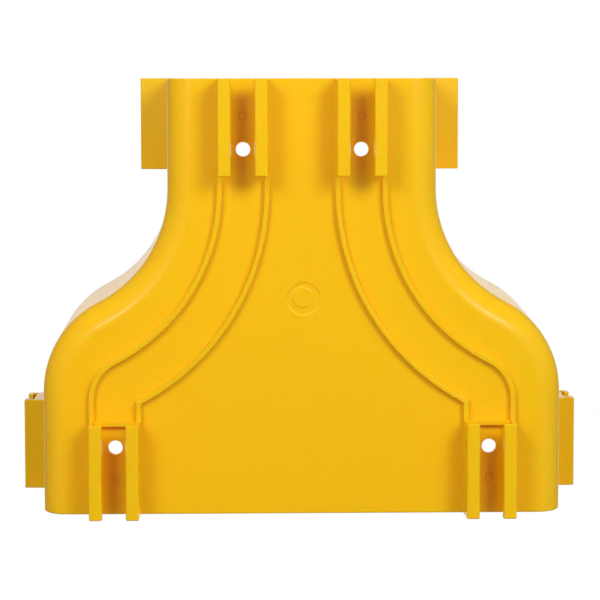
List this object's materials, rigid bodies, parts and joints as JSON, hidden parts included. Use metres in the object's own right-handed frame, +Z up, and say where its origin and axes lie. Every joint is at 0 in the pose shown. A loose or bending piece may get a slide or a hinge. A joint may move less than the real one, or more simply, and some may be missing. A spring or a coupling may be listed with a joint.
{
  "type": "fibre raceway reducer",
  "caption": "Open-topped moulded reducer that joins a wide fibre raceway to a narrow one, with curved sides, hooked joining rails at both ends and fixing holes in its floor.",
  "frame": {"origin": "under the middle of the fitting, on the surface that its floor rails stand on", "axes": "X across the duct, Y along it with the narrow end at -Y, Z up to the open side"},
  "size_m": [0.3554, 0.264, 0.128],
  "materials": {
    "yellow_plastic": "gloss, moulded in colour"
  },
  "bodies": {
    "root": {"reducer_body": "yellow_plastic"}
  },
  "joints": []
}
